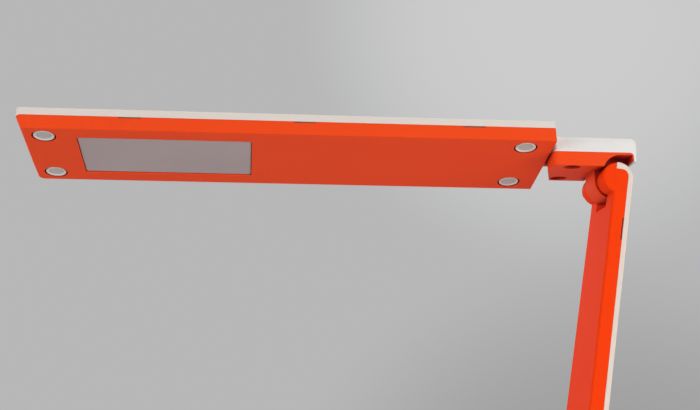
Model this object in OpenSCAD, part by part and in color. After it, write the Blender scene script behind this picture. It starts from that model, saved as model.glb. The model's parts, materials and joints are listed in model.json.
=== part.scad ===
// Folding desk lamp: a flat base, a leaning arm, a short neck and a long swivelling head.
// Origin at the middle of the underside, +Z up, +X from the lit end of the head towards the hinges.

/* [Pose] */
// Lean of the arm from upright towards +X, degrees
arm_lean = 8.8; // [0:0.1:15]
// Roll of the head about its long axis, degrees
head_roll = -12.4; // [-40:0.1:0]

/* [Head] */
// Length of the head
head_len = 243; // [210:1:250]
// Width of the head
head_w = 53.7; // [48:0.1:70]
// Height of the coloured tray at the underside
tray_h = 6.7; // [6.4:0.1:9]
// Height of the pale cover on top
head_cover_h = 3.8; // [3.4:0.1:4]
// Height of the swivel axis over the underside
swivel_rise = 3.35; // [3.3:0.05:3.6]
// Radius of the two corners at the lit end
head_corner_r = 3; // [1:0.5:6]
// How far the tray's lit end slopes in towards the underside
head_slope = 3.2; // [0:0.1:4]
// Thickness of the tray's floor
tray_floor = 1.5; // [1.4:0.1:1.6]
// Thickness of the tray's side walls
head_wall = 1.8; // [1.2:0.1:2.4]
// Thickness of the cover's top
head_cover_wall = 1.6; // [1.2:0.1:2]
// Length of a pry notch at the seam
notch_len = 10; // [6:1:14]
// Height of a pry notch
notch_h = 0.6; // [0.3:0.1:1]
// Depth of a pry notch
notch_depth = 0.9; // [0.4:0.1:1.1]

/* [Window] */
// Distance from the lit end of the head to the window
window_inset = 26.1; // [25:0.1:40]
// Length of the window
window_len = 78.3; // [60:0.1:90]
// Width of the window
window_w = 36; // [28:0.5:37]
// Radius of the window's corners
window_corner_r = 1; // [0.5:0.1:3]
// How far the frosted plate sits inside the underside
window_recess = 0.45; // [0.2:0.05:0.7]
// Width of the plate's hidden rim
rim_w = 2; // [1.2:0.1:2.6]
// Thickness of the plate's hidden rim
rim_t = 0.8; // [0.6:0.1:1]
// Height of the white reflector frame
reflector_h = 2.4; // [2:0.1:2.5]
// Wall of the reflector frame
reflector_wall = 1.4; // [1:0.1:2]
// Thickness of the light board
light_board_t = 1.2; // [0.8:0.1:1.4]
// Thickness of the heat spreader
spreader_t = 0.8; // [0.5:0.1:1]
// Side of one light chip
chip_side = 2.8; // [2:0.1:3.5]
// Height of one light chip
chip_h = 0.7; // [0.5:0.1:1]
// Number of light chips along the window
chip_columns = 8; // [4:1:9]
// Number of rows of light chips
chip_rows = 3; // [2:1:4]

/* [Head fixings] */
// Diameter of a round screw cap
cap_d = 9.4; // [8:0.1:10]
// Thickness of a screw cap
cap_t = 1.1; // [0.8:0.1:1.2]
// Gap round a screw cap
cap_gap = 0.25; // [0.15:0.05:0.35]
// Depth of a screw cap's dished centre
cap_dish = 0.25; // [0.1:0.05:0.4]
// Cap centre to the lit end of the head
cap_outer_inset = 12; // [11:0.1:12.6]
// Cap centre to the hinge end of the head
cap_inner_inset = 12.8; // [12:0.1:16]
// Cap centre to the side of the head
cap_side_inset = 7.9; // [7.6:0.1:9]
// Depth of the hole under a cap, from the underside
cap_well = 2.9; // [2.7:0.1:3.2]

/* [Neck] */
// Length of the neck
neck_len = 39.4; // [38:0.1:44]
// Width of the neck
neck_w = 34; // [33:0.1:36]
// Top of the neck over the swivel axis
neck_top = 7.9; // [7:0.1:8.4]
// Underside of the neck below the swivel axis
neck_drop = 6.2; // [6:0.1:6.4]
// Seam of the neck over the swivel axis
neck_seam = 0.35; // [0.2:0.05:0.8]
// Rounding of the neck's top edges
neck_round = 3.4; // [1:0.1:4]
// Wall of the neck's shells
neck_wall = 1.6; // [1.2:0.1:1.8]
// Thickness of the pale band over the neck's hinge end
neck_band = 1.2; // [0.8:0.1:1.6]
// Height of the pale end band's lower edge over the neck's underside
lip_rise = 2.2; // [1:0.1:3]
// How far the neck's free end slopes back towards its far side
neck_skew = 6.4; // [0:0.1:6.6]
// Diameter of a screw well in the neck's underside
neck_well_d = 8; // [7.6:0.1:8.2]
// Depth of a screw well in the neck's underside
neck_well_depth = 3; // [2:0.1:3.4]
// Screw well to the neck's free end
neck_well_inset = 9.9; // [9:0.1:11]
// Screw well to the neck's middle line
neck_well_side = 12.2; // [12:0.1:12.4]
// Diameter of the hollow swivel spindle
spindle_d = 3.2; // [2.8:0.1:3.4]
// Bore of the hollow swivel spindle
spindle_bore_d = 1.6; // [1:0.1:2]
// Length of the spindle inside the head
spindle_in_head = 13.4; // [12:0.1:16]
// Length of the spindle's seat inside the neck
spindle_seat = 11; // [8:0.1:12]

/* [Arm] */
// Distance between the arm's two pivots
arm_reach = 290; // [285:1:300]
// Width of the arm at the upper pivot
arm_top_w = 34.6; // [33:0.1:38]
// Width of the arm at the lower pivot
arm_foot_w = 46; // [40:0.5:52]
// Inner face of the arm beyond the line of the pivots
arm_inner_t = 1.6; // [1:0.1:2.4]
// Seam of the arm outside the line of the pivots
arm_seam_t = 4.9; // [4:0.1:5]
// Wall of the arm's inner shell
arm_wall = 1.6; // [1.2:0.1:2]
// Thickness of the pale band over each knuckle
band_t = 3; // [2:0.1:3.4]
// Where the pale band ends, beyond the line of the pivots
band_end = 1.1; // [0.5:0.1:1.5]
// Width of the ribbon cable inside the arm
ribbon_w = 6; // [4:0.5:8]
// Thickness of the ribbon cable
ribbon_t = 0.8; // [0.5:0.1:1]
// Lower pair of arm screws over the lower pivot
arm_screw_low = 40; // [30:1:60]
// Upper pair of arm screws over the lower pivot
arm_screw_high = 150; // [120:1:180]
// Arm screw to the arm's middle line
arm_screw_side = 10; // [8:0.5:12]
// Pry notch of the arm below the upper pivot
arm_notch_drop = 24; // [18:1:40]

/* [Hinges] */
// Radius of the arm's round knuckles
knuckle_r = 7.2; // [7:0.1:7.4]
// Radius of the base's hollows round the knuckles
hollow_r = 10; // [9.6:0.1:10.2]
// Gap between the neck's hollows and the knuckles
knuckle_gap = 0.4; // [0.3:0.1:0.6]
// Radius of the wider arch over each upper knuckle
arch_r = 8.4; // [8:0.1:8.6]
// Middle of the wider arch, to the right of the upper pivot
arch_run = 1.8; // [1:0.1:2.4]
// Middle of the wider arch, above the upper pivot
arch_rise = 2.4; // [1:0.1:2.6]
// Radius of the tongues between the knuckles
tongue_r = 8.2; // [7.4:0.1:8.6]
// Width of the neck's tongue
neck_tongue_w = 14.8; // [12:0.1:15]
// Width of the base's tongue
base_tongue_w = 20; // [16:0.5:24]
// Depth of the arm's slots from the pivots
slot_depth = 12.5; // [11:0.1:14]
// Diameter of a hinge pin
pin_d = 4; // [3.4:0.1:4.4]
// Diameter of a hinge pin's head
pin_head_d = 6.4; // [5.6:0.1:7]
// Thickness of a hinge pin's head
pin_head_t = 2; // [1.4:0.1:2.4]
// Plain wall left over the blind end of a pin
pin_cover_wall = 2.2; // [1.6:0.1:3]
// Diameter of a friction washer
washer_d = 12; // [10:0.1:12.6]
// Thickness of a friction washer
washer_t = 0.5; // [0.3:0.1:0.8]
// Upper pivot from the head's hinge end
pivot_run = 30.9; // [30:0.1:32]
// Upper pivot below the swivel axis
pivot_fall = 11.5; // [11.4:0.1:12]
// Gap between the head and the neck
head_gap = 0.8; // [0.6:0.1:1]

/* [Base] */
// Base to the left of the lower pivot
base_front = 282; // [278:1:284]
// Base to the right of the lower pivot
base_back = 16; // [15:0.5:24]
// Width of the base
base_w = 64; // [60:1:80]
// Top of the base over the table
base_top = 16; // [15.6:0.1:16.4]
// Seam of the base over the table
base_seam = 10.8; // [10.6:0.1:11.2]
// Lower pivot over the table
pivot_h = 36.5; // [36:0.5:42]
// Radius of the base's corners in plan
base_corner_r = 5; // [2:0.5:8]
// Rounding of the base's top edge
base_round = 1.2; // [0.4:0.1:1.8]
// Thickness of the base's floor
base_floor = 2.4; // [2:0.1:2.6]
// Wall of the base's shells
base_wall = 2; // [1.6:0.1:2.4]
// Thickness of the rubber pad
pad_t = 1.2; // [1:0.1:1.6]
// How deep the rubber pad sits in the base
pad_sink = 0.4; // [0.2:0.1:0.6]
// Rubber pad to the base's edge
pad_inset = 4; // [3:0.5:8]
// Length of the hinge block
block_len = 26; // [24:0.5:28]
// Top of the hinge block below the lower pivot
block_drop = 5.3; // [5:0.1:6]
// Thickness of the hinge block's foot
foot_t = 4; // [3:0.1:5]
// Length of the steel ballast plate
ballast_len = 160; // [120:1:190]
// Width of the steel ballast plate
ballast_w = 48; // [40:1:52]
// Thickness of the steel ballast plate
ballast_t = 4; // [3:0.5:5]

/* [Controls] */
// Push button from the lower pivot
button_run = 49; // [46:1:60]
// Diameter of the push button
button_d = 16; // [12:0.5:18]
// How far the button stands over the cover
button_proud = 0.7; // [0.4:0.1:0.9]
// Travel of the button
button_travel = 0.8; // [0.5:0.1:1]
// Indicator from the lower pivot
indicator_run = 32; // [28:1:34]
// Diameter of the indicator
indicator_d = 3; // [2:0.1:4]
// Length of the control board
board_len = 44; // [42:1:48]
// Width of the control board
board_w = 46; // [44:1:50]
// Thickness of the control board
board_t = 1.6; // [1.2:0.1:1.8]
// Standoff under the boards and the ballast
standoff_h = 1.5; // [1.2:0.1:2]
// Width of the supply socket
socket_w = 9; // [8:0.1:10]
// Height of the supply socket
socket_h = 3.2; // [2.8:0.1:3.4]
// Depth of the supply socket
socket_depth = 7.4; // [6:0.1:8]

/* [Fits] */
// Radial clearance of a turning fit
turn_gap = 0.05; // [0.02:0.01:0.08]
// Radial clearance of a fixed fit
seat_gap = 0.02; // [0.01:0.01:0.04]
// Gap between flat faces that slide
slide_gap = 0.05; // [0.03:0.01:0.15]
// Gap between a piece and the opening that it fills
drop_gap = 0.2; // [0.1:0.05:0.3]

/* [Hidden] */

// Overrun of every cut, and the smoothness of the round shapes
over = 1;
$fn = 48;
soft_fn = 32;
// A length beyond every piece, for cuts that run out at one side
far = arm_reach + head_len;

// Screws: the larger ones close the shells, the small ones hold the boards
screw_r = 1.1;
screw_head_r = 2.3;
screw_head_t = 1.3;
screw_hole_r = 1.35;
screw_bite = 2;
drive_r = 0.9;
drive_depth = 0.8;
boss_wall = 1.4;
small_screw_r = 0.8;
small_head_r = 1.5;
small_head_t = 0.9;
small_boss_r = 2.2;
small_drive_share = 0.8;
pin_drive_share = 0.7;
boss_r = screw_head_r + boss_wall;
tip_room = 0.2;

// Joint places in the lamp's own frame
lower_x = (base_front - base_back) / 2;
upper_x = lower_x + arm_reach * sin(arm_lean);
upper_z = pivot_h + arm_reach * cos(arm_lean);
swivel_x = upper_x - pivot_run;
swivel_z = upper_z + pivot_fall;
pin_r = pin_d / 2;

// Slots of the arm, each wide enough for a tongue and two friction washers
washer_room = washer_t + 2 * slide_gap;
upper_slot = neck_tongue_w / 2 + washer_room;
lower_slot = base_tongue_w / 2 + washer_room;

// Heights in the head's own frame, where zero is the swivel axis
head_low = -swivel_rise;
floor_top = head_low + tray_floor;
tray_top = head_low + tray_h;
head_top = tray_top + head_cover_h;
cover_under = head_top - head_cover_wall;
head_round = 0.7;
window_mid = -head_len + window_inset + window_len / 2;
rim_top = floor_top + rim_t;
reflector_top = rim_top + reflector_h;
light_board_top = reflector_top + light_board_t;
spreader_top = light_board_top + spreader_t;
light_len = window_len + 2 * rim_w;
light_w = window_w + 2 * rim_w;
light_screw_x = light_len / 2 + small_boss_r + drop_gap;
light_screw_y = window_w / 2 - small_boss_r;
spreader_len = 2 * (light_screw_x + small_boss_r);

// Screw caps of the head, from the underside inwards
cap_r = cap_d / 2;
cap_hole_r = cap_r + cap_gap;
cap_sink = 0.1;
cap_low = head_low + cap_sink;
cap_high = cap_low + cap_t;
cap_step = cap_low + cap_t / 2;
cap_dish_share = 0.74;
cap_rim_share = 0.86;
well_top = head_low + cap_well;

// Swivel spindle, its clip and the block in the head that turns on it
spindle_r = spindle_d / 2;
spindle_nose = 0.8;
clip_t = 0.5;
clip_r = spindle_r + 0.9;
collar_t = 1;
collar_r = spindle_r + 1;
swivel_block_len = spindle_in_head - spindle_nose - clip_t - slide_gap;
swivel_block_w = 4 * spindle_r + 2 * head_wall;
lead_w = 4;
lead_t = 0.8;
lead_rise = 6;

// Places in the neck's own frame, where zero is the swivel axis at the head's hinge end
neck_end = head_gap + neck_len;
neck_lip = 0.7;
arch_end = neck_end - neck_band - neck_lip;
neck_inside = pivot_run + arch_run - arch_r - neck_wall;
skew_start = -neck_w / 6;
hub_r = swivel_rise - drop_gap;
neck_corner_r = 2;
neck_well_top = -neck_drop + neck_well_depth;
neck_screw_x = head_gap + neck_well_inset;
neck_boss_r = neck_well_d / 2 + 0.9;
neck_core_round = 3 * neck_band / 2;
spindle_block_w = 2 * spindle_r + 2 * neck_wall;

// Places in the arm's own frame: +Z along the arm, +X towards its pale face
arm_inside = arm_wall - arm_inner_t;
arm_end_wall = slot_depth + arm_wall;
arm_well = screw_head_t + 0.7;

// Heights and places in the base
tray_under = pad_t - pad_sink;
base_floor_top = tray_under + base_floor;
cover_inside = base_top - base_wall;
shelf_z = base_floor_top + standoff_h;
board_top = shelf_z + board_t;
base_len = base_front + base_back;
block_w = arm_foot_w;
block_round = 1.6;
foot_room = 4;
foot_w = base_w - 2 * base_wall - 2 * foot_room;
block_screw_x = block_len / 2 - boss_r;
block_screw_y = block_w / 2 - boss_r;
button_x = lower_x - button_run;
indicator_x = lower_x - indicator_run;
board_gap = 2;
board_shift = base_w / 2 - base_wall - board_gap - board_w / 2;
board_screw_inset = 3;
ballast_gap = 8;
ballast_x = button_x - board_len / 2 - ballast_gap - ballast_len / 2;
ballast_screw_inset = 8;
base_screw_y = base_w / 2 - pad_inset - screw_head_r - drop_gap - boss_wall / 2;
base_screw_front = boss_r + 6;
base_screw_back = block_len / 2 + boss_r + 3;
base_well_top = base_seam - 4;
seat_well_top = tray_under + pad_sink + screw_head_t + 0.5;

// Push button and its switch
button_r = button_d / 2;
button_flange = 1.2;
stem_r = 2;
switch_side = 6;
switch_h = 3.5;
plunger_r = 1.5;
plunger_out = 1;
plunger_in = 1.2;
switch_top = board_top + switch_h;
socket_x = button_x + 12;
socket_wall = 0.5;
socket_tongue_t = 0.7;
indicator_r = indicator_d / 2;
led_h = 0.8;
chip_body = [7, 5, 1.2];
coil_body = [7, 7, 2.5];
coil_shift = 15;
can_d = 5;
can_h = 5;
can_shift = 14;

// Placing in the three leaning or turned frames
module in_arm() {
    translate([lower_x, 0, pivot_h]) rotate([0, arm_lean, 0]) children();
}

module in_neck() {
    translate([swivel_x, 0, swivel_z]) children();
}

module in_head() {
    in_neck() rotate([head_roll, 0, 0]) children();
}

// Round bars along each axis, between two places on it
module bar_x(r, x1, x2) {
    translate([x1, 0, 0]) rotate([0, 90, 0]) cylinder(r = r, h = x2 - x1);
}

module bar_y(r, y1, y2) {
    translate([0, y1, 0]) rotate([-90, 0, 0]) cylinder(r = r, h = y2 - y1);
}

module bar_z(r, z1, z2) {
    translate([0, 0, z1]) cylinder(r = r, h = z2 - z1);
}

// Box between two opposite corners
module block(low, high) {
    translate(low) cube(high - low);
}

// Outline raised between two heights
module slab(z1, z2) {
    translate([0, 0, z1]) linear_extrude(height = z2 - z1) children();
}

// Outline drawn in X and Z, run out along Y past both sides
module across_y() {
    rotate([90, 0, 0]) linear_extrude(height = far, center = true) children();
}

// Outline drawn in Y and Z, run out along X past both ends
module across_x() {
    rotate([90, 0, 90]) linear_extrude(height = far, center = true) children();
}

// Rectangle with rounded corners, its middle at the origin
module soft_rect(size, r) {
    offset(r = r, $fn = soft_fn) offset(delta = -r) square(size, center = true);
}

// Large sheet whose upper right corner, at a place, is rounded
module soft_corner(x, y, r) {
    translate([x - far / 2, y - far / 2]) soft_rect([far, far], r);
}

module mirrored_y() {
    children();
    mirror([0, 1, 0]) children();
}

module mirrored_x() {
    children();
    mirror([1, 0, 0]) children();
}

// Screw along +Z, its head below zero and its shank up to a length
module screw(length) {
    difference() {
        union() {
            bar_z(screw_head_r, -screw_head_t, 0);
            bar_z(screw_r, -screw_head_t / 2, length);
        }
        translate([0, 0, -screw_head_t - over]) cylinder(r = drive_r, h = over + drive_depth, $fn = 6);
    }
}

module small_screw(length) {
    difference() {
        union() {
            bar_z(small_head_r, -small_head_t, 0);
            bar_z(small_screw_r, -small_head_t / 2, length);
        }
        translate([0, 0, -small_head_t - over])
            cylinder(r = small_screw_r * small_drive_share, h = over + small_head_t / 2, $fn = 6);
    }
}

// Ribbon of even thickness through points in X and Z
module strip(points, width, thick) {
    last = len(points) - 1;
    top = [for (p = points) p + [0, thick / 2]];
    low = [for (i = [last:-1:0]) points[i] - [0, thick / 2]];
    rotate([90, 0, 0]) linear_extrude(height = width, center = true) polygon(concat(top, low));
}

// Base
module base_plan(inset) {
    soft_rect([base_len - 2 * inset, base_w - 2 * inset], max(base_corner_r - inset, base_corner_r / 4));
}

// The base's outer form, with the rounded edge round its top
module base_form() {
    intersection() {
        slab(tray_under, base_top) base_plan(0);
        across_x() translate([0, base_top - far / 2]) soft_rect([base_w, far], base_round);
        across_y() translate([0, base_top - far / 2]) soft_rect([base_len, far], base_round);
    }
}

module at_base_screws() {
    mirrored_y() translate([-base_len / 2 + base_screw_front, base_screw_y, 0]) children();
    mirrored_y() translate([lower_x - base_screw_back, base_screw_y, 0]) children();
}

module at_block_screws() {
    translate([lower_x, 0, 0]) mirrored_x() mirrored_y()
        translate([block_screw_x, block_screw_y, 0]) children();
}

module at_ballast_screws() {
    translate([ballast_x, 0, 0]) mirrored_x() mirrored_y()
        translate([ballast_len / 2 - ballast_screw_inset, ballast_w / 2 - ballast_screw_inset, 0])
            children();
}

module at_board_screws() {
    translate([button_x, board_shift, 0]) mirrored_x() mirrored_y()
        translate([board_len / 2 - board_screw_inset, board_w / 2 - board_screw_inset, 0]) children();
}

// Foot of the hinge block, in plan
module foot_plan() {
    translate([lower_x, 0]) soft_rect([block_len, foot_w], block_round);
}

module block_plan(gap) {
    translate([lower_x, 0]) soft_rect([block_len + 2 * gap, block_w + 2 * gap], block_round);
}

module base_pad() {
    color("dimgray") slab(0, pad_t) base_plan(pad_inset);
}

module base_tray() {
    color("orangered") difference() {
        union() {
            difference() {
                slab(tray_under, base_seam) base_plan(0);
                slab(base_floor_top, base_seam + over) base_plan(base_wall);
            }
            intersection() {
                union() {
                    at_base_screws() bar_z(boss_r, tray_under, base_seam);
                    at_ballast_screws() bar_z(boss_r, tray_under, shelf_z);
                    at_board_screws() bar_z(small_boss_r, tray_under, shelf_z);
                    slab(tray_under, shelf_z) foot_plan();
                }
                slab(tray_under, base_seam) base_plan(base_wall / 2);
            }
        }
        slab(tray_under - over, pad_t) base_plan(pad_inset - drop_gap);
        at_base_screws() bar_z(screw_head_r + drop_gap, tray_under - over, base_well_top);
        at_base_screws() bar_z(screw_hole_r, tray_under, base_seam + over);
        at_block_screws() bar_z(screw_head_r + drop_gap, tray_under - over, seat_well_top);
        at_block_screws() bar_z(screw_hole_r, tray_under, shelf_z + over);
        at_ballast_screws() bar_z(screw_r + seat_gap, shelf_z - screw_bite - tip_room, shelf_z + over);
        at_board_screws() bar_z(small_screw_r + seat_gap, shelf_z - screw_bite - tip_room, shelf_z + over);
        translate([socket_x, 0, 0]) block(
            [-socket_w / 2 - drop_gap, base_w / 2 - base_wall - over, board_top - drop_gap],
            [socket_w / 2 + drop_gap, base_w / 2 + over, board_top + socket_h + drop_gap]);
    }
}

module base_cover() {
    color("gainsboro") difference() {
        intersection() {
            base_form();
            slab(base_seam, base_top) base_plan(0);
        }
        difference() {
            slab(base_seam - over, cover_inside) base_plan(base_wall);
            at_base_screws() bar_z(boss_r, base_seam - over, cover_inside);
        }
        at_base_screws() bar_z(screw_r + seat_gap, base_seam - over, base_seam + screw_bite + tip_room);
        slab(base_seam - over, base_top + over) block_plan(drop_gap);
        translate([button_x, 0, 0]) bar_z(button_r + drop_gap, base_seam, base_top + over);
        translate([indicator_x, 0, 0]) bar_z(indicator_r + seat_gap, base_seam, base_top + over);
    }
}

module base_screws() {
    color("silver") at_base_screws() translate([0, 0, base_well_top])
        screw(base_seam + screw_bite - base_well_top);
}

// Block with a tongue between the arm's two lower knuckles
module hinge_block() {
    color("orangered") difference() {
        union() {
            slab(shelf_z, shelf_z + foot_t) foot_plan();
            slab(shelf_z, pivot_h - block_drop) block_plan(0);
            translate([lower_x, 0, pivot_h]) bar_y(tongue_r, -base_tongue_w / 2, base_tongue_w / 2);
            translate([lower_x, 0, pivot_h]) block(
                [-tongue_r, -base_tongue_w / 2, -hollow_r], [tongue_r, base_tongue_w / 2, 0]);
        }
        translate([lower_x, 0, pivot_h]) mirrored_y() bar_y(hollow_r, base_tongue_w / 2, block_w);
        translate([lower_x, 0, pivot_h]) bar_y(pin_r + turn_gap, -block_w, block_w);
        at_block_screws() bar_z(screw_r + seat_gap, shelf_z - over, shelf_z + foot_t + tip_room);
    }
}

module block_screws() {
    color("silver") at_block_screws() translate([0, 0, seat_well_top])
        screw(shelf_z + foot_t - seat_well_top);
}

module ballast_plate() {
    color("slategray") difference() {
        translate([ballast_x, 0, 0]) slab(shelf_z, shelf_z + ballast_t)
            soft_rect([ballast_len, ballast_w], block_round);
        at_ballast_screws() bar_z(screw_hole_r, shelf_z - over, shelf_z + ballast_t + over);
    }
}

module ballast_screws() {
    color("silver") at_ballast_screws() translate([0, 0, shelf_z + ballast_t]) mirror([0, 0, 1])
        screw(ballast_t + screw_bite);
}

module control_board() {
    color("darkgreen") difference() {
        translate([button_x, board_shift, 0]) slab(shelf_z, board_top)
            square([board_len, board_w], center = true);
        at_board_screws() bar_z(small_screw_r + tip_room, shelf_z - over, board_top + over);
    }
}

// Driver chip, coil, capacitor and the light under the indicator
module board_parts() {
    translate([button_x - board_len / 4, board_shift, board_top]) {
        color("black") translate([-chip_body.x / 2, 0, 0]) cube(chip_body);
        color("black") translate([-coil_body.x / 2, -coil_shift, 0]) cube(coil_body);
        color("silver") translate([0, can_shift, 0]) cylinder(d = can_d, h = can_h);
    }
    color("white") translate([indicator_x - led_h, -led_h, board_top]) cube([2 * led_h, 2 * led_h, led_h]);
}

module board_screws() {
    color("silver") at_board_screws() translate([0, 0, board_top]) mirror([0, 0, 1])
        small_screw(board_t + screw_bite);
}

module tact_switch() {
    color("black") translate([button_x, 0, 0]) difference() {
        slab(board_top, switch_top) square(switch_side, center = true);
        bar_z(plunger_r + turn_gap, switch_top - plunger_in - button_travel - tip_room, switch_top + over);
    }
}

// Low wide socket for a supply lead, open at the back of the base
module supply_socket() {
    mouth = base_w / 2 - drop_gap;
    rear = mouth - socket_depth;
    mid = board_top + socket_h / 2;
    color("silver") translate([socket_x, 0, 0]) {
        difference() {
            block([-socket_w / 2, rear, board_top], [socket_w / 2, mouth, board_top + socket_h]);
            block([-socket_w / 2 + socket_wall, rear + 2 * socket_wall, board_top + socket_wall],
                [socket_w / 2 - socket_wall, mouth + over, board_top + socket_h - socket_wall]);
        }
        block([-socket_w / 4, rear + socket_wall, mid - socket_tongue_t / 2],
            [socket_w / 4, mouth - 2 * socket_wall, mid + socket_tongue_t / 2]);
    }
}

module indicator_lens() {
    color("honeydew") translate([indicator_x, 0, 0]) {
        bar_z(indicator_r, board_top + led_h + drop_gap, base_top);
        bar_z(indicator_r + boss_wall / 2, cover_inside - collar_t, cover_inside);
    }
}

module power_button() {
    top = base_top + button_proud;
    flange_top = cover_inside - slide_gap;
    flange_low = flange_top - button_flange;
    color("whitesmoke") translate([button_x, 0, 0]) difference() {
        union() {
            rotate_extrude() polygon([[0, flange_low], [button_r, flange_low],
                [button_r, top - button_proud / 2], [button_r - button_proud / 2, top], [0, top]]);
            bar_z(button_r + button_flange, flange_low, flange_top);
            bar_z(stem_r, switch_top + plunger_out, flange_top);
        }
        bar_z(button_r * cap_dish_share, top - cap_dish, top + over);
    }
}

module switch_plunger() {
    color("ivory") translate([button_x, 0, 0])
        bar_z(plunger_r, switch_top - plunger_in, switch_top + plunger_out);
}

// Hinge pins and washers: half is the arm's half width at the pivot
module hinge_pin(half) {
    color("silver") difference() {
        union() {
            bar_y(pin_r, -half + pin_cover_wall + tip_room, half - pin_head_t / 2);
            bar_y(pin_head_d / 2, half - pin_head_t - drop_gap, half - drop_gap);
        }
        translate([0, half - drop_gap - pin_head_t / 2, 0]) rotate([-90, 0, 0])
            cylinder(r = pin_r * pin_drive_share, h = pin_head_t, $fn = 6);
    }
}

module pin_hole(half) {
    bar_y(pin_r + seat_gap, -half + pin_cover_wall, half);
    bar_y(pin_head_d / 2 + turn_gap, half - pin_head_t - drop_gap, half + arm_foot_w);
}

module friction_washers(tongue_w) {
    color("silver") mirrored_y() translate([0, tongue_w / 2 + slide_gap, 0]) difference() {
        bar_y(washer_d / 2, 0, washer_t);
        bar_y(pin_r + turn_gap, -over, washer_t + over);
    }
}

module lower_hinge_pin() {
    in_arm() hinge_pin(arm_half(0));
}

module lower_friction_washers() {
    in_arm() friction_washers(base_tongue_w);
}

module upper_hinge_pin() {
    in_arm() translate([0, 0, arm_reach]) hinge_pin(arm_half(arm_reach));
}

module upper_friction_washers() {
    in_arm() translate([0, 0, arm_reach]) friction_washers(neck_tongue_w);
}

// Half of the arm's width at a place along it
function arm_half(s) = (arm_foot_w + (arm_top_w - arm_foot_w) * s / arm_reach) / 2;

// Points along a round, between two angles
function turn(mid, r, a1, a2, steps) = [
    for (i = [0:steps]) mid + r * [cos(a1 + (a2 - a1) * i / steps), sin(a1 + (a2 - a1) * i / steps)]
];

// Side of the arm: two round knuckles joined by a flat inner face and a flat outer face
module arm_side() {
    inner_angle = 180 - acos(arm_inner_t / knuckle_r);
    polygon(concat(turn([0, 0], knuckle_r, inner_angle, 360, soft_fn),
        turn([0, arm_reach], knuckle_r, 0, 360 - inner_angle, soft_fn)));
}

// Front of the arm, narrowing towards the head, drawn between two places along it
module arm_front(s1, s2, inset) {
    polygon([[-arm_half(s1) + inset, s1], [arm_half(s1) - inset, s1],
        [arm_half(s2) - inset, s2], [-arm_half(s2) + inset, s2]]);
}

module arm_form() {
    intersection() {
        across_y() arm_side();
        across_x() arm_front(-knuckle_r - over, arm_reach + knuckle_r + over, 0);
    }
}

// The coloured part of the arm's side, inside the pale cover and its two end bands
module arm_core() {
    end = knuckle_r - band_t;
    across_y() {
        translate([arm_seam_t - far / 2, arm_reach / 2]) soft_rect([far, arm_reach + 2 * end], band_t);
        translate([-band_end - far, -far]) square([far, 3 * far]);
    }
}

module arm_slots() {
    block([-far, -lower_slot, -far], [far, lower_slot, slot_depth]);
    block([-far, -upper_slot, arm_reach - slot_depth], [far, upper_slot, arm_reach + far]);
}

module at_arm_screws() {
    for (s = [arm_screw_low, arm_screw_high])
        mirrored_y() translate([0, arm_screw_side, s]) rotate([0, 90, 0]) children();
}

module arm_hollow() {
    difference() {
        intersection() {
            block([arm_inside, -far, arm_end_wall], [arm_seam_t + over, far, arm_reach - arm_end_wall]);
            across_x() arm_front(arm_end_wall - over, arm_reach - arm_end_wall + over, arm_wall);
        }
        at_arm_screws() bar_z(boss_r, -arm_inner_t, arm_seam_t + 2 * over);
    }
}

module arm_inner_shell() {
    color("orangered") in_arm() difference() {
        intersection() {
            arm_form();
            arm_core();
        }
        arm_hollow();
        arm_slots();
        pin_hole(arm_half(0));
        translate([0, 0, arm_reach]) pin_hole(arm_half(arm_reach));
        at_arm_screws() bar_z(screw_head_r + drop_gap, -arm_inner_t - over, arm_well - arm_inner_t);
        at_arm_screws() bar_z(screw_hole_r, -arm_inner_t, arm_seam_t + over);
        block([arm_inside, -ribbon_w / 2 - drop_gap, slot_depth - over],
            [arm_inside + ribbon_t + drop_gap, ribbon_w / 2 + drop_gap, arm_reach - slot_depth + over]);
        translate([0, 0, arm_reach - arm_notch_drop]) block(
            [arm_seam_t - notch_h, -arm_foot_w, -notch_len / 2],
            [arm_seam_t + over, notch_depth - arm_half(arm_reach - arm_notch_drop), notch_len / 2]);
    }
}

module arm_outer_shell() {
    color("gainsboro") in_arm() difference() {
        arm_form();
        arm_core();
        arm_slots();
        at_arm_screws() bar_z(screw_r + seat_gap, arm_seam_t - over, arm_seam_t + screw_bite);
    }
}

module arm_screws() {
    color("silver") in_arm() at_arm_screws() translate([0, 0, arm_well - arm_inner_t])
        screw(arm_seam_t + screw_bite - tip_room - arm_well + arm_inner_t);
}

module arm_ribbon() {
    color("dimgray") in_arm() block([arm_inside, -ribbon_w / 2, slot_depth],
        [arm_inside + ribbon_t, ribbon_w / 2, arm_reach - slot_depth]);
}

// Neck
module neck_form() {
    intersection() {
        across_y() soft_corner(neck_end, neck_top, neck_round);
        across_x() translate([0, neck_top - far / 2]) soft_rect([neck_w, far], neck_round);
        slab(-neck_drop, neck_top) translate([head_gap + far / 2, 0])
            soft_rect([far, neck_w], neck_corner_r);
        neck_front(0);
    }
    bar_x(hub_r, head_gap, head_gap + spindle_seat);
}

// Everything behind the neck's free end, whose far part slopes back
module neck_front(inset) {
    near_x = head_gap + inset;
    far_y = neck_w;
    far_x = near_x + neck_skew * (far_y - skew_start) / (neck_w / 2 - skew_start);
    slab(-neck_drop - over, neck_top + over)
        polygon([[near_x, -far_y], [far, -far_y], [far, far_y], [far_x, far_y], [near_x, skew_start]]);
}

// The coloured part of the neck's side, inside the pale cover and its end band
module neck_core() {
    across_y() soft_corner(neck_end - neck_band, neck_seam, neck_core_round);
}

module at_neck_screws() {
    mirrored_y() translate([neck_screw_x, neck_well_side, 0]) children();
}

module at_upper_pivot() {
    translate([pivot_run, 0, -pivot_fall]) children();
}

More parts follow.
